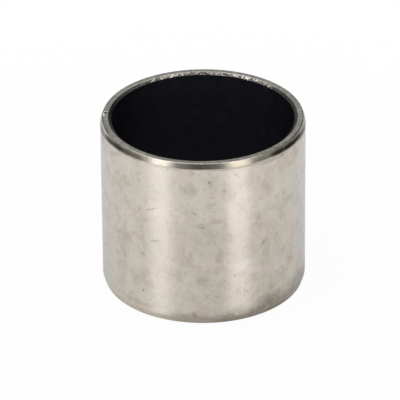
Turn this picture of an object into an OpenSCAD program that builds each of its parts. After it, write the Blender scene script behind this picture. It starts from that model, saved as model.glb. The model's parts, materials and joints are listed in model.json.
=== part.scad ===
// Rolled sleeve bearing.
// A strip of plated steel, with a layer of sintered bronze and a film of filled PTFE on one side,
// is chamfered along its edges and rolled into a sleeve that closes at a straight butt joint.
// The sleeve stands on one end, with its bore along +Z and the joint on the -X side.

/* [Bearing] */
// Diameter of the bore that the shaft runs in
bore_d = 25; // [20:0.5:40]
// Thickness of the rolled strip, from the bore to the outside
wall = 1.5; // [1.2:0.05:2.5]
// Length of the sleeve along its axis
length = 24.75; // [10:0.25:50]

/* [Lining] */
// Thickness of the sliding film of filled PTFE
ptfe_film = 0.03; // [0.02:0.005:0.05]
// Thickness of the sintered bronze that carries the film
bronze_layer_t = 0.38; // [0.2:0.01:0.45]

/* [End chamfers] */
// Depth of the outer chamfers, across the wall
outer_chamfer_depth = 0.3; // [0.1:0.05:0.5]
// Length of the outer chamfer along the axis at the upper end
upper_chamfer_length = 0.8; // [0.2:0.01:1]
// Length of the outer chamfer along the axis at the lower end
lower_chamfer_length = 0.93; // [0.2:0.01:1]
// Depth of the inner chamfers, across the wall
inner_chamfer_depth = 0.47; // [0.1:0.01:0.6]
// Length of the inner chamfers along the axis
inner_chamfer_length = 0.31; // [0.1:0.01:0.7]

/* [Butt joint] */
// Gap between the two ends of the strip, measured at the outside
joint_gap = 0.12; // [0.05:0.01:0.4]
// Edge break along the two ends of the strip, on the outside
joint_edge_break = 0.12; // [0.05:0.01:0.3]

/* [Hidden] */
$fn = 180;
bore_r = bore_d / 2;
outer_r = bore_r + wall;
film_r = bore_r + ptfe_film;
bond_r = film_r + bronze_layer_t;
joint_angle = 2 * asin(joint_gap / 2 / outer_r);
joint_side = 180;
// The cut that breaks the edges stands this far out of the wall
break_overrun = 0.5;

// Half section of the whole wall, with both ends chamfered inside and outside
module wall_section() {
    polygon([
        [bore_r, inner_chamfer_length],
        [bore_r + inner_chamfer_depth, 0],
        [outer_r - outer_chamfer_depth, 0],
        [outer_r, lower_chamfer_length],
        [outer_r, length - upper_chamfer_length],
        [outer_r - outer_chamfer_depth, length],
        [bore_r + inner_chamfer_depth, length],
        [bore_r, length - inner_chamfer_length]
    ]);
}

// One layer of the strip, cut from the wall's section and rolled up to the butt joint
module rolled_layer(inner_r, outside_r) {
    rotate([0, 0, joint_side + joint_angle / 2])
        rotate_extrude(angle = 360 - joint_angle)
            intersection() {
                wall_section();
                translate([inner_r, 0]) square([outside_r - inner_r, length]);
            }
}

// V-shaped cut along the joint that breaks the outer edges of the strip's ends
module joint_edge_cut() {
    half_gap = joint_gap / 2;
    rise = joint_edge_break + break_overrun;
    rotate([0, 0, joint_side])
        translate([outer_r - joint_edge_break, 0, 0])
            linear_extrude(height = length)
                polygon([[0, -half_gap], [rise, -half_gap - rise], [rise, half_gap + rise], [0, half_gap]]);
}

module steel_backing() {
    color("#c3beb4")
        difference() {
            rolled_layer(bond_r, outer_r);
            joint_edge_cut();
        }
}

module bronze_layer() {
    color("#a58a63")
        rolled_layer(film_r, bond_r);
}

module ptfe_lining() {
    color("#15161a")
        rolled_layer(bore_r, film_r);
}

steel_backing();
bronze_layer();
ptfe_lining();
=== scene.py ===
import json
import math

import bmesh
import bpy
from mathutils import Matrix, Quaternion, Vector, noise


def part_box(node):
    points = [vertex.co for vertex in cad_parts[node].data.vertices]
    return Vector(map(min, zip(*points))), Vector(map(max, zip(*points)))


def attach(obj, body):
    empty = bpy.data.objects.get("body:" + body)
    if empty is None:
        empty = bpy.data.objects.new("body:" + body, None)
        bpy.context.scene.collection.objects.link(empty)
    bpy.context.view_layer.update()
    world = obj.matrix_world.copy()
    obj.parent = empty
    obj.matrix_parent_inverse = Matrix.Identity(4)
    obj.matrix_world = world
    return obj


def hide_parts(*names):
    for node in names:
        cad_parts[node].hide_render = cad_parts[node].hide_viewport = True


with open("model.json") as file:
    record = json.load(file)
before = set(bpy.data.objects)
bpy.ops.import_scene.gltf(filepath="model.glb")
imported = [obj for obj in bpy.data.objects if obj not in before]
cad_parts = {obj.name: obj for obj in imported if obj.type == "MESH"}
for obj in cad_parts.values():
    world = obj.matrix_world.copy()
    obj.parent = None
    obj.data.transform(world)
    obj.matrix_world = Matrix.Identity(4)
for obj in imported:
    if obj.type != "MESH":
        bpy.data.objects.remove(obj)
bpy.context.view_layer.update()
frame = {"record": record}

# Steel backing: the outer layer of the strip, low-carbon steel under a thin silvery plating.
# The strip is chamfered along both edges and rolled into a sleeve, so its two ends meet in a
# straight butt joint on the -X side. The plating is stained and scuffed from handling.
mm = 0.001
steel_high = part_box("steel_backing")[1]
outer_radius = steel_high.y
sleeve_length = steel_high.z
bond_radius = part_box("bronze_layer")[1].x
film_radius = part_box("ptfe_lining")[1].x
mounts = {mount["name"]: mount for mount in frame["record"]["mounts"]}
bore_radius = mounts["bore"]["dims"]["r_mm"] * mm
bore_length = mounts["bore"]["dims"]["length_mm"] * mm
fit_length = mounts["outside"]["dims"]["length_mm"] * mm
fit_middle = mounts["outside"]["pos_m"][2]

lower_chamfer = fit_middle - fit_length / 2
upper_chamfer = sleeve_length - fit_middle - fit_length / 2
outer_chamfer_depth = 0.30 * mm
inner_chamfer_depth = 0.47 * mm
inner_chamfer_length = (sleeve_length - bore_length) / 2
land_outside = outer_radius - outer_chamfer_depth
land_inside = bore_radius + inner_chamfer_depth
land_width = land_outside - land_inside

joint_gap = 0.12 * mm
joint_side = math.pi
joint_angle = 2 * math.asin(joint_gap / 2 / outer_radius)
joint_edge_break = 0.06 * mm


def mouth_drop(radius):
    """How far below the end of the sleeve the inner chamfer lies at a radius."""
    return inner_chamfer_length * (land_inside - radius) / inner_chamfer_depth


def bowed_middle(land_height, wall_height):
    """The middle of an outer chamfer, which the press leaves bowed a little out of a straight slope."""
    slope = Vector((outer_radius - land_outside, wall_height - land_height))
    outward = Vector((abs(slope.y), math.copysign(slope.x, -slope.y))).normalized()
    middle = Vector((land_outside, land_height)) + slope / 2 + outward * chamfer_bow
    return middle.x, middle.y


def section_outline(section, rounding):
    """Starts a mesh with the outline of the strip's section, its corners rounded by their own amounts."""
    mesh = bmesh.new()
    corners = [mesh.verts.new((radius, 0.0, height)) for radius, height in section]
    mesh.faces.new(corners)
    for corner, amount in zip(corners, rounding):
        bmesh.ops.bevel(
            mesh, geom=[corner], offset=amount, affect="VERTICES", segments=4, profile=0.5, material=-1
        )
    bmesh.ops.delete(mesh, geom=mesh.faces[:], context="FACES_ONLY")
    return mesh


def roll_strip(mesh, sectors, steps):
    """Turns the section about Z from one side of the butt joint to the other, a sector at a time."""
    weld = 0.0002 * mm
    start = Matrix.Rotation(joint_side + joint_angle / 2, 3, "Z")
    bmesh.ops.rotate(mesh, verts=mesh.verts[:], cent=(0, 0, 0), matrix=start)
    sector = (2 * math.pi - joint_angle) / sectors
    outline = mesh.verts[:] + mesh.edges[:]
    bmesh.ops.spin(mesh, geom=outline, cent=(0, 0, 0), axis=(0, 0, 1), angle=sector, steps=steps)
    first = mesh.verts[:] + mesh.edges[:] + mesh.faces[:]
    for number in range(1, sectors):
        copy = bmesh.ops.duplicate(mesh, geom=first)["geom"]
        moved = [part for part in copy if isinstance(part, bmesh.types.BMVert)]
        onward = Matrix.Rotation(number * sector, 3, "Z")
        bmesh.ops.rotate(mesh, verts=moved, cent=(0, 0, 0), matrix=onward)
    bmesh.ops.remove_doubles(mesh, verts=mesh.verts[:], dist=weld)
    bmesh.ops.holes_fill(mesh, edges=mesh.edges[:], sides=0)
    bmesh.ops.recalc_face_normals(mesh, faces=mesh.faces[:])


chamfer_bow = 0.006 * mm
steel_section = [
    (bond_radius, mouth_drop(bond_radius)),
    (land_inside, 0.0),
    (land_outside, 0.0),
    bowed_middle(0.0, lower_chamfer),
    (outer_radius, lower_chamfer),
    (outer_radius, sleeve_length - upper_chamfer),
    bowed_middle(sleeve_length, sleeve_length - upper_chamfer),
    (land_outside, sleeve_length),
    (land_inside, sleeve_length),
    (bond_radius, sleeve_length - mouth_drop(bond_radius)),
]
sharp_corner = 0.02 * mm
land_corner = 0.08 * mm
bow_rounding = 0.20 * mm
wall_corner = 0.08 * mm
half_rounding = [sharp_corner, sharp_corner, land_corner, bow_rounding, wall_corner]
steel_mesh = section_outline(steel_section, half_rounding + half_rounding[::-1])
level_edges = [
    edge for edge in steel_mesh.edges
    if abs(edge.verts[0].co.z - edge.verts[1].co.z) < sharp_corner
]
land_edges = [edge for edge in level_edges if edge.calc_length() > land_width / 2]
bmesh.ops.subdivide_edges(steel_mesh, edges=land_edges, cuts=7)
roll_strip(steel_mesh, sectors=12, steps=60)

strip_ends = [face for face in steel_mesh.faces if len(face.verts) > 4]
end_edges = [
    edge for face in strip_ends for edge in face.edges
    if min(vert.co.xy.length for vert in edge.verts) > land_inside
]
bmesh.ops.bevel(
    steel_mesh, geom=end_edges, offset=joint_edge_break, affect="EDGES", segments=3, profile=0.5, material=-1
)

# The joint's upper corner is knocked: a notch in one end of the strip and a shallow ding beside it.
# Places across the land are shares of its width, from its inner edge.
notch_depth = 0.42 * mm
notch_reach = 0.52 * mm
notch_middle = 0.52
notch_floor_half = 0.06
notch_steepness = 5.5
ding_depth = 0.18 * mm
ding_start = 0.32 * mm
ding_middle = 1.02 * mm
ding_stop = 1.40 * mm
ding_skin = 0.1 * mm
ding_inner_edge = 0.40
ding_fade = 0.25
for vert in steel_mesh.verts:
    from_joint = -vert.co.y - joint_gap / 2
    across_land = (vert.co.xy.length - land_inside) / land_width
    at_joint = vert.co.x < 0
    if at_joint and 0 <= from_joint < notch_reach and vert.co.z > sleeve_length - notch_depth:
        off_floor = max(abs(across_land - notch_middle) - notch_floor_half, 0.0)
        deepest = max(0.0, 1 - notch_steepness * off_floor)
        vert.co.z -= notch_depth * deepest * (1 - from_joint / notch_reach)
    if at_joint and ding_start < from_joint < ding_stop and vert.co.z > sleeve_length - ding_skin:
        down_slope = (from_joint - ding_start) / (ding_middle - ding_start)
        up_slope = (ding_stop - from_joint) / (ding_stop - ding_middle)
        outer_share = min(max((across_land - ding_inner_edge) / ding_fade, 0.0), 1.0)
        vert.co.z -= ding_depth * min(down_slope, up_slope) * outer_share
    vert.co.z = min(max(vert.co.z, 0.0), sleeve_length)

# A burr on the other end of the strip fills part of the gap at that corner, and leans back at its top.
burr_inside = land_inside + 0.31 * mm
burr_outside = land_inside + 0.70 * mm
burr_top = sleeve_length - 0.01 * mm
burr_foot = sleeve_length - 0.17 * mm
burr_reach = 0.134 * mm
burr_root = 0.03 * mm
burr_lean = 0.075 * mm
burr_corners = [
    (burr_outside, 0.0),
    (burr_inside, -burr_reach),
    (burr_inside, burr_root),
    (burr_outside, burr_root),
]
burr = []
for height, lean in ((burr_top, burr_lean), (burr_foot, 0.0)):
    for radius, forward in burr_corners:
        beside = joint_gap / 2 + min(forward + lean, burr_root)
        burr.append(steel_mesh.verts.new((-radius, beside, height)))
burr_parts = bmesh.ops.convex_hull(steel_mesh, input=burr)["geom"]
burr_faces = [part for part in burr_parts if isinstance(part, bmesh.types.BMFace)]
bmesh.ops.recalc_face_normals(steel_mesh, faces=burr_faces)

WALL, CHAMFER, LAND = 0, 1, 2
for face in steel_mesh.faces:
    middle = face.calc_center_median()
    radius = middle.xy.length
    if lower_chamfer < middle.z < sleeve_length - upper_chamfer and radius > land_outside:
        face.material_index = WALL
    elif radius > land_outside - land_corner / 2:
        face.material_index = CHAMFER
    else:
        face.material_index = LAND


def new_material(name):
    """A node material, with its tree, its shader and the place on the piece that patterns read."""
    material = bpy.data.materials.new(name)
    material.use_nodes = True
    tree = material.node_tree
    place = node(tree, "ShaderNodeTexCoord").outputs["Object"]
    return material, tree, tree.nodes["Principled BSDF"], place


def node(tree, kind, inputs=None, **settings):
    """Adds a node, sets its options, and sets or links its inputs by name or number."""
    made = tree.nodes.new(kind)
    for name, value in settings.items():
        setattr(made, name, value)
    for socket, value in (inputs or {}).items():
        if isinstance(value, bpy.types.NodeSocket):
            tree.links.new(value, made.inputs[socket])
        else:
            made.inputs[socket].default_value = value
    return made


def calc(tree, operation, *values):
    """The result of one sum on numbers or sockets."""
    return node(tree, "ShaderNodeMath", dict(enumerate(values)), operation=operation).outputs[0]


def shift(tree, operation, *vectors):
    """The vector that one sum on vectors gives."""
    return node(tree, "ShaderNodeVectorMath", dict(enumerate(vectors)), operation=operation).outputs[0]


def scaled(tree, vector, amount):
    """A vector made longer or shorter by an amount."""
    return node(tree, "ShaderNodeVectorMath", {0: vector, "Scale": amount}, operation="SCALE").outputs[0]


def measure(tree, operation, *vectors):
    """The number that one sum on vectors gives, such as a length."""
    inputs = dict(enumerate(vectors))
    return node(tree, "ShaderNodeVectorMath", inputs, operation=operation).outputs["Value"]


def split(tree, place):
    """The X, Y and Z of a place."""
    return node(tree, "ShaderNodeSeparateXYZ", {0: place}).outputs


def remap(tree, value, low, high, new_low=0.0, new_high=1.0):
    """A value taken smoothly from one range to another, and held at its ends."""
    inputs = {0: value, 1: low, 2: high, 3: new_low, 4: new_high}
    return node(tree, "ShaderNodeMapRange", inputs, interpolation_type="SMOOTHSTEP").outputs[0]


def blend(tree, amount, first, second, mode="MIX"):
    """Two colours mixed by an amount."""
    inputs = {0: amount, 6: first, 7: second}
    return node(tree, "ShaderNodeMix", inputs, data_type="RGBA", blend_type=mode).outputs[2]


def shaded(tree, colour, tone):
    """A colour made darker or lighter by a tone, where 1 leaves it as it is."""
    grey = node(tree, "ShaderNodeCombineColor", {0: tone, 1: tone, 2: tone}).outputs[0]
    return blend(tree, 1.0, colour, grey, "MULTIPLY")


def speckle(tree, place, feature, detail=3.0, roughness=0.55, distortion=0.0):
    """Noise from 0 to 1 whose blotches are about one feature size across."""
    inputs = {
        "Vector": place,
        "Scale": 1 / feature,
        "Detail": detail,
        "Roughness": roughness,
        "Distortion": distortion,
    }
    return node(tree, "ShaderNodeTexNoise", inputs).outputs["Fac"]


def stretched(tree, place, scale, turned=0.0):
    """A place turned and stretched along its axes, for grain that runs one way."""
    inputs = {"Vector": place, "Scale": scale, "Rotation": (0.0, 0.0, math.radians(turned))}
    return node(tree, "ShaderNodeMapping", inputs).outputs[0]


def unroll(tree, place):
    """The place laid flat: the distance round the outside, from the side across from the joint,
    and the height."""
    axes = split(tree, place)
    turn = calc(tree, "ARCTAN2", axes["Y"], axes["X"])
    around = calc(tree, "MULTIPLY", turn, outer_radius)
    return node(tree, "ShaderNodeCombineXYZ", {"X": around, "Y": axes["Z"]}).outputs[0]


def strayed(tree, flat, place, feature, detail, reach):
    """The unrolled place moved about at random, so that marks laid on it get ragged outlines."""
    inputs = {"Vector": place, "Scale": 1 / feature, "Detail": detail}
    stray = node(tree, "ShaderNodeTexNoise", inputs).outputs["Color"]
    stray = shift(tree, "SUBTRACT", stray, (0.5, 0.5, 0.5))
    return shift(tree, "ADD", flat, scaled(tree, stray, reach))


def side_angle(tree, flat, side):
    """How far round from the middle of a side a place on the unrolled wall lies, in radians."""
    turn = calc(tree, "MULTIPLY", split(tree, flat)["X"], 1 / outer_radius)
    return calc(tree, "ABSOLUTE", calc(tree, "SUBTRACT", turn, side))


def scuffs(tree, flat, marks):
    """How strongly a place is marked, from a list of oval marks on the unrolled wall. Each gives its
    azimuth in degrees, its height, half length and half width in mm, its tilt in degrees and its strength."""
    full_until = 0.25
    gone_from = 1.15
    strongest = None
    for azimuth, height, half_length, half_width, tilt, strength in marks:
        around = math.radians(azimuth) * outer_radius
        inputs = {
            "Vector": flat,
            "Location": (around, height * mm, 0.0),
            "Rotation": (0.0, 0.0, math.radians(tilt)),
            "Scale": (half_length * mm, half_width * mm, 1.0),
        }
        oval = node(tree, "ShaderNodeMapping", inputs, vector_type="TEXTURE").outputs[0]
        mark = remap(tree, measure(tree, "LENGTH", oval), full_until, gone_from, strength, 0.0)
        strongest = mark if strongest is None else calc(tree, "MAXIMUM", strongest, mark)
    return strongest


plating, tree, shader, place = new_material("plated_steel")
flat = unroll(tree, place)
frayed = strayed(tree, flat, place, feature=0.5 * mm, detail=4.0, reach=0.55 * mm)
spread = strayed(tree, frayed, place, feature=2.5 * mm, detail=2.0, reach=1.6 * mm)

# The side of the sleeve that faces the camera; painted reflection and shade toward the sides are measured
# round from it.
camera_facing_side = math.radians(-84)
cool_from = math.radians(50)
cool_full = math.radians(84)
# Painted reflection: the wall is lighter toward the top, where it mirrors floor clear of the sleeve's shadow.
top_lift_from = 11 * mm
top_lift_full = 19 * mm
top_lift_tone = 1.09
clean_colour = (0.774, 0.709, 0.621, 1)
green_colour = (0.724, 0.673, 0.585, 1)
pink_colour = (0.768, 0.684, 0.605, 1)
cool_reflection_colour = (0.686, 0.674, 0.641, 1)
stain_colour = (0.535, 0.45, 0.35, 1)
grime_and_shade_colour = (0.215, 0.184, 0.148, 1)
dark_grime_and_shade_colour = (0.028, 0.024, 0.017, 1)
scratch_colour = (0.30, 0.26, 0.21, 1)
pale_wear_and_highlight_colour = (0.86, 0.80, 0.76, 1)

brown_stains = [
    (-122, 21.0, 0.35, 1.2, 0, 0.50),
    (-86, 15.2, 1.5, 0.7, 5, 0.55),
    (-77, 15.8, 1.6, 0.8, 5, 0.5),
    (-100, 15.7, 0.7, 0.6, 0, 0.35),
    (-72.5, 20.9, 0.4, 1.8, 0, 0.50),
    (-72.5, 15.0, 0.4, 4.0, 0, 0.30),
    (-120, 9.7, 0.9, 0.4, -5, 0.5),
    (-133, 12.5, 0.3, 1.2, 0, 0.5),
    (-117, 6.7, 0.4, 0.9, 10, 0.3),
    (-51.5, 14.7, 1.0, 1.9, 5, 0.5),
    (-46, 4.0, 2.6, 1.1, 0, 0.45),
    (-26.6, 6.6, 1.1, 1.5, 0, 0.5),
    (-16, 3.0, 1.2, 1.0, 0, 0.45),
    (-95.5, 11.5, 0.25, 1.2, 0, 0.4),
    (-91.5, 10.7, 0.4, 0.8, 0, 0.45),
    (-139, 1.0, 6.0, 0.8, 0, 0.20),
]
# The first three are faint veils on the wall; the rest is grime and painted shade along the lower end.
wall_grime_and_shade = [
    (-12, 13.0, 2.4, 14.0, 0, 0.10),
    (-33, 12.5, 8.5, 30.0, 0, 0.07),
    (-38, 5.0, 3.4, 2.0, 0, 0.15),
    (-19, 0.4, 7.0, 3.5, 0, 0.57),
    (-18, 0.40, 6.0, 0.85, 0, 0.95),
    (-39, 0.3, 7.0, 3.2, 0, 0.68),
    (-37, 0.40, 6.0, 0.80, 0, 0.92),
    (-54, 0.2, 6.0, 2.2, 0, 0.76),
    (-67, 0.3, 6.0, 1.25, 0, 0.76),
    (-84, 0.5, 7.0, 1.3, 0, 0.56),
    (-119, 0.3, 8.0, 1.0, 0, 0.22),
    (-147, 0.4, 6.0, 0.75, 0, 0.36),
    (-128, 1.85, 9.0, 0.40, 0, 0.14),
]
# Along the upper outer chamfer and just below its crease: grime, with a painted dark reflection
# of the room toward the sides and a painted shade line under the crease.
rim_grime_and_dark_reflection = [
    (-171, 23.85, 1.2, 0.36, 0, 0.80),
    (-162, 23.90, 2.6, 0.56, 0, 0.72),
    (-149.5, 24.10, 3.0, 0.46, 0, 0.88),
    (-140, 24.17, 3.2, 0.50, 0, 0.86),
    (-132, 24.20, 2.2, 0.50, 0, 0.66),
    (-125.5, 24.20, 1.9, 0.50, 0, 0.60),
    (-46, 24.18, 2.6, 0.42, 0, 0.35),
    (-37, 24.22, 2.6, 0.52, 0, 0.96),
    (-41, 23.55, 3.6, 0.42, 0, 0.27),
    (-27, 24.16, 3.2, 0.52, 0, 1.00),
    (-22, 24.12, 2.2, 0.46, 0, 1.00),
    (-17, 24.15, 3.2, 0.50, 0, 1.00),
    (-8, 24.02, 3.2, 0.70, 0, 0.86),
    (-60, 23.82, 6.5, 0.19, 0, 0.30),
    (-106, 23.82, 4.5, 0.19, 0, 0.15),
]
dark_scratches = [
    (-114.5, 16.9, 1.4, 0.13, 24, 0.52),
    (-122.2, 16.6, 0.09, 0.55, 8, 0.45),
    (-140.5, 20.4, 0.5, 0.12, 15, 0.5),
    (-133, 20.4, 0.6, 0.13, 5, 0.4),
    (-112, 12.2, 1.1, 0.10, 6, 0.42),
    (-120.4, 3.9, 0.17, 0.28, 0, 0.85),
    (-103.5, 11.4, 0.06, 1.5, 4, 0.35),
    (-89.3, 17.3, 0.07, 0.55, 30, 0.5),
    (-80.4, 22.0, 0.3, 0.4, 0, 0.5),
    (-83.5, 21.0, 0.12, 0.4, -15, 0.5),
    (-79, 19.6, 0.5, 0.08, -10, 0.45),
    (-84.5, 15.0, 0.35, 0.28, 0, 0.55),
    (-66.6, 7.4, 0.12, 0.4, -20, 0.5),
    (-33.5, 17.5, 0.3, 0.2, 0, 0.45),
    (-83, 4.2, 2.0, 0.07, 40, 0.3),
    (-156, 7.2, 0.6, 0.14, 30, 0.6),
    (-49, 11.3, 0.14, 0.45, -20, 0.5),
    (-89.5, 1.6, 0.16, 0.55, 15, 0.5),
]
pale_marks = [
    (-62, 8.6, 2.2, 1.0, 20, 0.7),
    (-55, 7.6, 2.5, 0.6, -12, 0.45),
    (-69, 17.5, 1.2, 2.0, 0, 0.35),
    (-62, 19.5, 1.6, 1.2, 0, 0.35),
    (-135, 4.8, 3.0, 2.4, 0, 0.30),
    (-134, 2.2, 0.3, 1.1, 0, 0.50),
]

# Tone of the plating: faint green and pink clouds, and a painted cool reflection toward the sides.
tints = speckle(tree, place, 5 * mm, detail=6, roughness=0.6)
warmth = speckle(tree, stretched(tree, place, (1.0, 1.0, 1.4)), 4 * mm, detail=6, roughness=0.6)
stains = speckle(tree, place, 2.2 * mm, detail=8, roughness=0.74, distortion=0.6)
specks = speckle(tree, place, 0.7 * mm, detail=6, roughness=0.75)
patches = speckle(tree, place, 6 * mm, detail=3)
fine = speckle(tree, place, 0.22 * mm, detail=2)
off_middle = side_angle(tree, flat, camera_facing_side)
base = blend(tree, remap(tree, tints, 0.40, 0.62), clean_colour, green_colour)
base = blend(tree, remap(tree, warmth, 0.48, 0.64), base, pink_colour)
base = blend(tree, remap(tree, off_middle, cool_from, cool_full), base, cool_reflection_colour)

# Stains: brown clouds in patches, the larger stains by place, and small pits in clusters.
clouds = remap(tree, stains, 0.46, 0.70, 0.0, 0.50)
stained = calc(tree, "MULTIPLY", clouds, remap(tree, patches, 0.35, 0.6, 0.35, 1.0))
blotches = scuffs(tree, spread, brown_stains)
blotches = calc(tree, "MULTIPLY", blotches, remap(tree, specks, 0.40, 0.62, 0.5, 1.3))
stained = calc(tree, "MAXIMUM", stained, blotches)
pitting = speckle(tree, place, 0.7 * mm, detail=8, roughness=0.82, distortion=0.25)
clusters = remap(tree, speckle(tree, place, 2.6 * mm, detail=4, roughness=0.6), 0.45, 0.60, 0.12, 1.0)
pits = calc(tree, "MULTIPLY", remap(tree, pitting, 0.52, 0.62, 0.0, 0.62), clusters)
rubbed = calc(tree, "MULTIPLY", remap(tree, pitting, 0.48, 0.40, 0.0, 0.4), clusters)
stained = calc(tree, "MAXIMUM", stained, pits)
base = blend(tree, stained, base, stain_colour)

# Grime and painted shade toward both ends, spots that are rubbed pale, and scratches over them.
grime_and_shade = scuffs(tree, spread, wall_grime_and_shade)
grime_and_shade = calc(tree, "MULTIPLY", grime_and_shade, remap(tree, specks, 0.36, 0.62, 0.82, 1.1))
base = blend(tree, grime_and_shade, base, grime_and_shade_colour)
# Grime, painted dark reflection and painted shade along the upper rim.
base = blend(tree, scuffs(tree, flat, rim_grime_and_dark_reflection), base, dark_grime_and_shade_colour)
base = blend(tree, calc(tree, "MAXIMUM", scuffs(tree, frayed, pale_marks), rubbed), base, pale_wear_and_highlight_colour)
hairlines_up = speckle(tree, stretched(tree, flat, (9.0, 0.8, 1.0), 12), 1.3 * mm, detail=2)
hairlines_across = speckle(tree, stretched(tree, flat, (0.8, 10.0, 1.0), 24), 1.6 * mm, detail=2)
hairlines_up = remap(tree, hairlines_up, 0.66, 0.74)
hairlines_across = remap(tree, hairlines_across, 0.67, 0.75)
hairlines = calc(tree, "MAXIMUM", hairlines_up, hairlines_across)
hairline_strength = 0.28
hairlines = calc(tree, "MULTIPLY", hairlines, hairline_strength)
scratched = calc(tree, "MAXIMUM", hairlines, scuffs(tree, frayed, dark_scratches))
base = blend(tree, scratched, base, scratch_colour)

# Finish: a fine grain, painted reflection lightening the top, and a sheen that the rolling marks stretch up
# the wall.
top_reflection_lift = remap(tree, split(tree, place)["Z"], top_lift_from, top_lift_full, 1.0, top_lift_tone)
grain_and_top_lift = calc(tree, "MULTIPLY", remap(tree, fine, 0.3, 0.7, 0.97, 1.025), top_reflection_lift)
tree.links.new(shaded(tree, base, grain_and_top_lift), shader.inputs["Base Color"])
smooth_plating = 0.34
rough_stain = 0.41
rough = remap(tree, stains, 0.4, 0.7, smooth_plating, rough_stain)
rough = calc(tree, "ADD", rough, calc(tree, "MULTIPLY", scratched, 0.1))
tree.links.new(rough, shader.inputs["Roughness"])
shader.inputs["Metallic"].default_value = 1.0
shader.inputs["Anisotropic"].default_value = 0.97
shader.inputs["Anisotropic Rotation"].default_value = 0.25
rolling_direction = node(tree, "ShaderNodeTangent", direction_type="RADIAL", axis="Z")
tree.links.new(rolling_direction.outputs[0], shader.inputs["Tangent"])
relief = calc(tree, "SUBTRACT", calc(tree, "MULTIPLY", fine, 0.4), calc(tree, "ADD", scratched, pits))
dents = node(tree, "ShaderNodeBump", {"Strength": 0.3, "Distance": 0.02 * mm, "Height": relief})
tree.links.new(dents.outputs[0], shader.inputs["Normal"])


def crease_shade(tree, place):
    """How much painted shade darkens the crease between an end and its outer chamfer, away from the lit
    front.
    """
    lit_front_side = math.radians(-100)
    lit_front_half = math.radians(44)
    crease_shade_from = math.radians(60)
    line_half = 0.04 * mm
    line_reach = 0.14 * mm
    line_strength = 0.92
    half_length = sleeve_length / 2
    off_middle = side_angle(tree, unroll(tree, place), lit_front_side)
    height = split(tree, place)["Z"]
    radius = measure(tree, "LENGTH", shift(tree, "MULTIPLY", place, (1, 1, 0)))
    outward = calc(tree, "SUBTRACT", radius, land_outside)
    off_waist = calc(tree, "ABSOLUTE", calc(tree, "SUBTRACT", height, half_length))
    from_end = calc(tree, "SUBTRACT", half_length, off_waist)
    off_crease = node(tree, "ShaderNodeCombineXYZ", {"X": outward, "Y": from_end}).outputs[0]
    off_crease = measure(tree, "LENGTH", off_crease)
    line = remap(tree, off_crease, line_half, line_reach, line_strength, 0.0)
    line = calc(tree, "MULTIPLY", line, remap(tree, off_middle, lit_front_half, crease_shade_from))
    return calc(tree, "MULTIPLY", line, remap(tree, speckle(tree, place, 1.5 * mm), 0.35, 0.55, 0.6, 1.0))


# The chamfers are pressed smooth by the rolling tool and plated with the wall, so they are shinier.
dull_chamfer = (0.585, 0.533, 0.454, 1)
bright_chamfer = (0.715, 0.650, 0.553, 1)
shaded_side_chamfer = (0.30, 0.29, 0.262, 1)
side_from = math.radians(70)
side_full = math.radians(90)
chamfer, tree, shader, place = new_material("plated_chamfer")
flat = unroll(tree, place)
worn = speckle(tree, place, 1.2 * mm, detail=4)
base = blend(tree, remap(tree, worn, 0.35, 0.65), dull_chamfer, bright_chamfer)
off_middle = side_angle(tree, flat, camera_facing_side)
# Painted reflection: the chamfer darkens toward the two sides, where it mirrors the dark room.
base = blend(tree, remap(tree, off_middle, side_from, side_full), base, shaded_side_chamfer)
# Painted shade in the crease between the chamfer and the land.
base = blend(tree, crease_shade(tree, place), base, dark_grime_and_shade_colour)
# Grime and painted shade at the lower end.
base = blend(tree, scuffs(tree, flat, wall_grime_and_shade), base, grime_and_shade_colour)
# Grime and painted dark reflection along the upper rim.
base = blend(tree, scuffs(tree, flat, rim_grime_and_dark_reflection), base, dark_grime_and_shade_colour)
tree.links.new(base, shader.inputs["Base Color"])
shader.inputs["Roughness"].default_value = 0.26
shader.inputs["Metallic"].default_value = 1.0

# The lands and the steel part of the mouth are cut faces, greyer than the plating. In the joint they
# hold a painted highlight near the top and painted shade below it; the ding's lip has a painted glint.
dark_cut = (0.43, 0.40, 0.35, 1)
light_cut = (0.58, 0.545, 0.48, 1)
darker_cut_half = math.radians(30)
lighter_cut_from = math.radians(60)
darker_cut_tone = 0.89
lighter_cut_tone = 1.02
lip_glint_colour = (0.95, 0.91, 0.87, 1)
lip_middle = (0.087 * mm - land_outside, -0.80 * mm, sleeve_length)
lip_half = (0.32 * mm, 0.58 * mm, 0.4 * mm)
joint_shade_top = sleeve_length - 0.12 * mm
joint_shade_full = sleeve_length - 0.20 * mm
joint_highlight_strength = 0.9
bright_half = 0.6 * joint_gap
bright_end = 0.9 * joint_gap
cut_edge, tree, shader, place = new_material("cut_steel_edge")
worn = speckle(tree, place, 0.6 * mm, detail=5)
base = blend(tree, remap(tree, worn, 0.3, 0.7), dark_cut, light_cut)
torn = speckle(tree, place, 0.3 * mm, detail=4, roughness=0.75)
off_middle = side_angle(tree, unroll(tree, place), camera_facing_side)
torn_tone = remap(tree, torn, 0.35, 0.65, 0.86, 1.14)
# The cut faces are a little darker on the side that faces the camera.
side_tone = remap(tree, off_middle, darker_cut_half, lighter_cut_from, darker_cut_tone, lighter_cut_tone)
base = shaded(tree, base, calc(tree, "MULTIPLY", torn_tone, side_tone))
axes = split(tree, place)
in_joint = remap(tree, calc(tree, "ABSOLUTE", axes["Y"]), bright_half, bright_end, 1.0, 0.0)
in_joint = calc(tree, "MULTIPLY", in_joint, calc(tree, "LESS_THAN", axes["X"], 0.0))
joint_depth_shade = remap(tree, axes["Z"], joint_shade_full, joint_shade_top, 1.0, 0.0)
# Painted shade in the crease at the land's outer edge.
base = blend(tree, crease_shade(tree, place), base, dark_grime_and_shade_colour)
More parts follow.
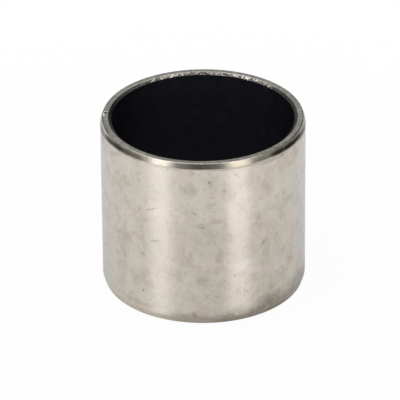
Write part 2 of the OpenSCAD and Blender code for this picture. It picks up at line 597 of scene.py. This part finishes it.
# Painted highlight at the top of the joint faces, and painted shade deeper in the gap.
base = blend(tree, calc(tree, "MULTIPLY", in_joint, joint_highlight_strength), base, pale_wear_and_highlight_colour)
base = blend(tree, calc(tree, "MULTIPLY", in_joint, joint_depth_shade), base, grime_and_shade_colour)
# A painted glint on the lip of the ding.
lip_inputs = {"Vector": place, "Location": lip_middle, "Scale": lip_half}
lip_oval = node(tree, "ShaderNodeMapping", lip_inputs, vector_type="TEXTURE").outputs[0]
lip = remap(tree, measure(tree, "LENGTH", lip_oval), 0.6, 1.1, 1.0, 0.0)
base = blend(tree, lip, base, lip_glint_colour)
tree.links.new(base, shader.inputs["Base Color"])
tree.links.new(remap(tree, worn, 0.3, 0.7, 0.28, 0.42), shader.inputs["Roughness"])
shader.inputs["Metallic"].default_value = 1.0
tears = node(tree, "ShaderNodeBump", {"Strength": 0.3, "Distance": 0.012 * mm, "Height": torn})
tree.links.new(tears.outputs[0], shader.inputs["Normal"])


def finish_piece(mesh, name, node_name, materials):
    """Makes the mesh an object with its materials, hides its node, and lets it ride with the sleeve."""
    data = bpy.data.meshes.new(name)
    for face in mesh.faces:
        face.smooth = True
    mesh.to_mesh(data)
    mesh.free()
    piece = bpy.data.objects.new(name, data)
    bpy.context.scene.collection.objects.link(piece)
    for material in materials:
        data.materials.append(material)
    shading = piece.modifiers.new("flat_face_shading", "WEIGHTED_NORMAL")
    shading.weight = 100
    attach(piece, "root")
    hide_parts(node_name)


steel_materials = [plating, chamfer, cut_edge]
finish_piece(steel_mesh, "plated_steel_backing", "steel_backing", steel_materials)

# Bronze layer: bronze powder sintered onto the steel before the strip is rolled. It shows only
# where the inner chamfer cuts it open: flat-topped grains with black film in the pores.
bronze_section = [
    (film_radius, mouth_drop(film_radius)),
    (bond_radius, mouth_drop(bond_radius)),
    (bond_radius, sleeve_length - mouth_drop(bond_radius)),
    (film_radius, sleeve_length - mouth_drop(film_radius)),
]
bronze_corner = sharp_corner / 2
grain_size = 0.20 * mm
bronze_mesh = section_outline(bronze_section, [bronze_corner] * len(bronze_section))
mouth_edges = [
    edge for edge in bronze_mesh.edges
    if abs(edge.verts[0].co.x - edge.verts[1].co.x) > grain_size / 2
]
bmesh.ops.subdivide_edges(bronze_mesh, edges=mouth_edges, cuts=11)
roll_strip(bronze_mesh, sectors=20, steps=110)

# Each vertex of the cut faces takes the grain it lies in. The level that the material reads is low in
# the pores, in the grains that broke out, and over arcs of the mouth painted dark: on both sides as a
# painted dark reflection of the bore that the ring mirrors there, and dimmed at the back and front.
# An arc gives its middle and half width in degrees, and the share of the grains that it covers.
darkened_arcs = [(2, 66, 1.0), (176, 60, 1.0), (93, 20, 0.5), (-90, 20, 0.6)]
arc_steepness = 2.2
patch_size = 3 * grain_size
patch_strength = 0.7
film_overlap = 0.18 * mm
film_start = 0.2
film_raggedness = 1.6
grain_scatter = 40
grain_tilt = 0.10
dullest_grain = 0.35
pore_depth = 0.02 * mm
pore_share = 0.16
pore_width = 0.30
slope = Vector((inner_chamfer_length, inner_chamfer_depth)).normalized()
grain_level = bronze_mesh.verts.layers.float.new("grain_level")
for vert in bronze_mesh.verts:
    radius = vert.co.xy.length
    distances, centres = noise.voronoi(vert.co / grain_size)
    edge_share = min((distances[1] - distances[0]) / pore_width, 1.0)
    grain_tone = noise.cell(centres[0] * grain_scatter) / 2 + 0.5
    solid = edge_share if grain_tone > pore_share else 0.0
    azimuth = math.degrees(math.atan2(vert.co.y, vert.co.x))
    grain_showing = 1.0
    for arc_middle, arc_half, share in darkened_arcs:
        off_arc = abs((azimuth - arc_middle + 180) % 360 - 180) / arc_half
        grain_showing *= 1 - share * min(max(arc_steepness - arc_steepness * off_arc, 0.0), 1.0)
    grain_showing *= 1.0 + patch_strength * noise.noise(vert.co / patch_size)
    film_edge = film_start + (radius - film_radius) / film_overlap
    film_edge += film_raggedness * noise.noise(vert.co / grain_size)
    grain_showing *= min(max(film_edge, 0.0), 1.0)
    brightness = dullest_grain + (1 - dullest_grain) * grain_tone
    vert[grain_level] = solid * brightness * min(max(grain_showing, 0.0), 1.0)
    if film_radius + bronze_corner / 2 < radius < bond_radius - bronze_corner / 2:
        leaning = noise.cell_vector(centres[0] * grain_scatter) - Vector((0.5, 0.5, 0.5))
        tip = leaning.dot(vert.co / grain_size - centres[0]) * grain_tilt * grain_size
        inward = -vert.co.xy.normalized()
        upward = 1 if vert.co.z > sleeve_length / 2 else -1
        push = Vector((inward.x * slope.x, inward.y * slope.x, upward * slope.y))
        vert.co += push * (solid * tip - pore_depth * (1 - solid))

dull_bronze = (0.50, 0.455, 0.40, 1)
bright_bronze = (1.0, 0.97, 0.93, 1)
dark_film_and_shade = (0.022, 0.021, 0.019, 1)
grey_film_and_shade = (0.20, 0.19, 0.165, 1)
joint_smear = (0.006, 0.006, 0.006, 1)
joint_smear_start = -11.9 * mm
joint_smear_full = -12.6 * mm
bronze, tree, shader, place = new_material("sintered_bronze")
level = node(tree, "ShaderNodeAttribute", attribute_name="grain_level").outputs["Fac"]
base = blend(tree, remap(tree, level, 0.30, 0.95), dull_bronze, bright_bronze)
streaks = speckle(tree, place, 0.16 * mm, detail=4, roughness=0.65)
# Black film in the pores, and the same dark as painted shade over the darkened arcs.
film_and_shade = blend(tree, remap(tree, streaks, 0.42, 0.66), dark_film_and_shade, grey_film_and_shade)
across = split(tree, place)["X"]
film_and_shade = blend(tree, remap(tree, across, joint_smear_start, joint_smear_full), film_and_shade, joint_smear)
base = blend(tree, remap(tree, level, 0.05, 0.40), film_and_shade, base)
tree.links.new(base, shader.inputs["Base Color"])
shader.inputs["Metallic"].default_value = 1.0
shader.inputs["Roughness"].default_value = 0.25
finish_piece(bronze_mesh, "sintered_bronze_ring", "bronze_layer", [bronze])

# PTFE lining: a thin film of filled PTFE pressed into the bronze. It is the running surface of
# the bore, smooth, dull blue-black and faintly mottled. Its colour holds painted light: lighter on
# the far side, where light falls into the bore, and darker on the sides.
lining_section = [
    (bore_radius, mouth_drop(bore_radius)),
    (film_radius, mouth_drop(film_radius)),
    (film_radius, sleeve_length - mouth_drop(film_radius)),
    (bore_radius, sleeve_length - mouth_drop(bore_radius)),
]
lining_corner = sharp_corner / 4
lining_mesh = section_outline(lining_section, [lining_corner] * len(lining_section))
roll_strip(lining_mesh, sectors=12, steps=60)

dark_film = (0.0088, 0.0093, 0.0126, 1)
pale_film = (0.0134, 0.0142, 0.0205, 1)
side_shade_until = 3 * mm
far_lift_from = 11.5 * mm
side_shade_tone = 0.42
far_lift_tone = 1.15
lining, tree, shader, place = new_material("filled_ptfe")
mottle = speckle(tree, place, 1.2 * mm, detail=6, roughness=0.7)
base = blend(tree, remap(tree, mottle, 0.35, 0.7), dark_film, pale_film)
# Painted light: lighter toward the far side of the bore, darker on its sides.
far_side_lift = remap(tree, split(tree, place)["Y"], side_shade_until, far_lift_from, side_shade_tone, far_lift_tone)
tree.links.new(shaded(tree, base, far_side_lift), shader.inputs["Base Color"])
shader.inputs["Roughness"].default_value = 0.5
shader.inputs["Specular IOR Level"].default_value = 0.12
finish_piece(lining_mesh, "ptfe_film", "ptfe_lining", [lining])

# Studio floor: a white sheet that the sleeve stands on and that fades to a grey floor round it. The
# camera sees it white, with a faint shadow and dark inside the bore. The metal mirrors the sheet,
# darker close to the sleeve.
scene = bpy.context.scene
floor_half = 8.0
floor_mesh = bmesh.new()
bmesh.ops.create_grid(floor_mesh, x_segments=1, y_segments=1, size=floor_half)
floor_data = bpy.data.meshes.new("floor")
floor_mesh.to_mesh(floor_data)
floor_mesh.free()
floor = bpy.data.objects.new("floor", floor_data)
scene.collection.objects.link(floor)

camera_azimuth = math.radians(6.0)
sheet_colour = (0.94, 0.94, 0.94, 1)
grey_floor_colour = (0.38, 0.38, 0.38, 1)
sheet_until = 0.065
grey_from = 0.20
back_stretch = 4.0
front_stretch = 3.0
front_until = -0.06
back_from = 0.01
camera_share = 0.95
shadow_until = 0.02
white_from = 0.10
bore_shade = 0.8
mirror_share = 0.75
contact_share = 0.55
contact_until = 0.014
mirror_from = 0.032
floor_white = bpy.data.materials.new("floor_white")
floor_white.use_nodes = True
tree = floor_white.node_tree
tree.nodes.remove(tree.nodes["Principled BSDF"])
place = node(tree, "ShaderNodeTexCoord").outputs["Object"]
reach = measure(tree, "LENGTH", place)
turned_back = {"Vector": place, "Rotation": (0.0, 0.0, -camera_azimuth)}
axes = split(tree, node(tree, "ShaderNodeMapping", turned_back).outputs[0])
away = calc(tree, "MULTIPLY", axes["Y"], 1 / back_stretch)
narrowing = remap(tree, axes["Y"], front_until, back_from, 1 / front_stretch, 1.0)
aside = calc(tree, "MULTIPLY", axes["X"], narrowing)
sheet = node(tree, "ShaderNodeCombineXYZ", {"X": aside, "Y": away}).outputs[0]
far = remap(tree, measure(tree, "LENGTH", sheet), sheet_until, grey_from)
paper = blend(tree, far, sheet_colour, grey_floor_colour)
surface = node(tree, "ShaderNodeBsdfDiffuse", {"Color": paper}).outputs[0]
glow = node(tree, "ShaderNodeEmission", {"Color": (1, 1, 1, 1), "Strength": 1.0}).outputs[0]
rays = node(tree, "ShaderNodeLightPath").outputs
whiteness = remap(tree, reach, shadow_until, white_from, camera_share, 1.0)
seen = calc(tree, "MULTIPLY", rays["Is Camera Ray"], whiteness)
in_bore = calc(tree, "LESS_THAN", reach, bore_radius + inner_chamfer_depth)
seen = calc(tree, "MULTIPLY", seen, calc(tree, "MULTIPLY_ADD", in_bore, -bore_shade, 1.0))
mirrored = calc(tree, "MAXIMUM", rays["Is Glossy Ray"], rays["Is Transmission Ray"])
mirrored = calc(tree, "MULTIPLY", mirrored, calc(tree, "MULTIPLY_ADD", far, -mirror_share, mirror_share))
clear_of_contact = remap(tree, reach, contact_until, mirror_from, contact_share, 1.0)
mirrored = calc(tree, "MULTIPLY", mirrored, clear_of_contact)
share = calc(tree, "ADD", seen, mirrored)
mixed = node(tree, "ShaderNodeMixShader", {0: share, 1: surface, 2: glow}).outputs[0]
tree.links.new(mixed, tree.nodes["Material Output"].inputs["Surface"])
floor_data.materials.append(floor_white)

# Studio lamps: two upright soft boxes to the left and right of the camera draw the bright bands on the
# wall. A narrow box above the front and two overhead boxes at the sides light the rim and the mouth.
middle = Vector((0.0, 0.0, sleeve_length / 2))
cool = (0.99, 0.99, 1.0)
warm = (1.0, 0.97, 0.93)
neutral = (1.0, 1.0, 1.0)


def bearing(turned, raised):
    """The direction that lies so far round from the camera and so far above the floor, in degrees."""
    angle = camera_azimuth + math.radians(turned)
    rise = math.radians(raised)
    return Vector((math.sin(angle) * math.cos(rise), -math.cos(angle) * math.cos(rise), math.sin(rise)))


def soft_box(name, turned, raised, wide, tall, brightness, colour):
    """A rectangular lamp a metre from the sleeve that covers so many degrees and faces it."""
    reach = 1.0
    lamp = bpy.data.lights.new(name, "AREA")
    lamp.shape = "RECTANGLE"
    lamp.size = 2 * reach * math.tan(math.radians(wide / 2))
    lamp.size_y = 2 * reach * math.tan(math.radians(tall / 2))
    lamp.energy = brightness * math.pi * lamp.size * lamp.size_y
    lamp.color = colour
    box = bpy.data.objects.new(name, lamp)
    toward = bearing(turned, raised)
    box.location = middle + toward * reach
    box.rotation_euler = toward.to_track_quat("Z", "Y").to_euler()
    scene.collection.objects.link(box)


soft_box("left_soft_box", turned=-47.5, raised=22.2, wide=22, tall=40.6, brightness=1.90, colour=cool)
soft_box("right_soft_box", turned=38.8, raised=22.7, wide=22.2, tall=41.6, brightness=1.82, colour=warm)
soft_box("front_top_box", turned=-27, raised=62, wide=8, tall=36, brightness=1.2, colour=neutral)
soft_box("left_top_box", turned=-105, raised=62, wide=32, tall=30, brightness=1.3, colour=neutral)
soft_box("right_top_box", turned=105, raised=62, wide=28, tall=28, brightness=0.8, colour=neutral)

# Studio room: dim round the horizon and darkest straight before and behind the sleeve. The dark climbs
# higher on the camera's side, and above it are a pale ceiling and a glow at the zenith. Places in the
# room are parts of a direction of length 1.
dark_level = 0.02
flank_level = 0.13
ceiling_level = 0.42
zenith_glow = 0.62
strip_half = 0.08
flank_from = 0.30
dark_climb = 0.45
climb_from = 0.2
climb_full = 0.85
horizon_low = -0.08
horizon_high = 0.10
zenith_from = 0.75
zenith_full = 0.97
room_tint = (0.95, 0.98, 1.0)
world = bpy.data.worlds.new("studio")
scene.world = world
world.use_nodes = True
tree = world.node_tree
direction = node(tree, "ShaderNodeTexCoord").outputs["Generated"]
rise = split(tree, direction)["Z"]
toward = measure(tree, "DOT_PRODUCT", direction, bearing(0, 0))
climb = remap(tree, toward, climb_from, climb_full, 0.0, dark_climb)
lifted = calc(tree, "SUBTRACT", rise, climb)
sideways = measure(tree, "DOT_PRODUCT", direction, bearing(90, 0))
off_strip = calc(tree, "ABSOLUTE", sideways)
dark = remap(tree, off_strip, strip_half, flank_from, dark_level, flank_level)
room_glow = remap(tree, lifted, horizon_low, horizon_high, dark, ceiling_level)
overhead = remap(tree, rise, zenith_from, zenith_full, 0.0, zenith_glow)
room_glow = calc(tree, "ADD", room_glow, overhead)
tree.links.new(scaled(tree, room_tint, room_glow), tree.nodes["Background"].inputs["Color"])
tree.nodes["Background"].inputs["Strength"].default_value = 1.0

# Camera: a long lens that looks down on the sleeve from the front, a little to its right. The picture's
# slight roll, and the pixel that the sleeve's middle falls on, follow the photograph.
photo_side = 400.0
centre_across = 203.44
centre_down = 194.92
pixels_per_metre = 7272.0
camera_distance = 0.6206
camera_elevation = 29.10
camera_roll = math.radians(-0.426)
lens = bpy.data.cameras.new("camera")
lens.sensor_width = 36.0
lens.lens = lens.sensor_width * pixels_per_metre * camera_distance / photo_side
lens.shift_x = (photo_side / 2 - centre_across) / photo_side
lens.shift_y = (centre_down - photo_side / 2) / photo_side
lens.clip_start = 0.01
camera = bpy.data.objects.new("camera", lens)
back = bearing(0, camera_elevation)
camera.location = middle + back * camera_distance
camera.rotation_mode = "QUATERNION"
camera.rotation_quaternion = back.to_track_quat("Z", "Y") @ Quaternion((0, 0, 1), camera_roll)
scene.collection.objects.link(camera)
scene.camera = camera
scene.view_settings.view_transform = "Standard"
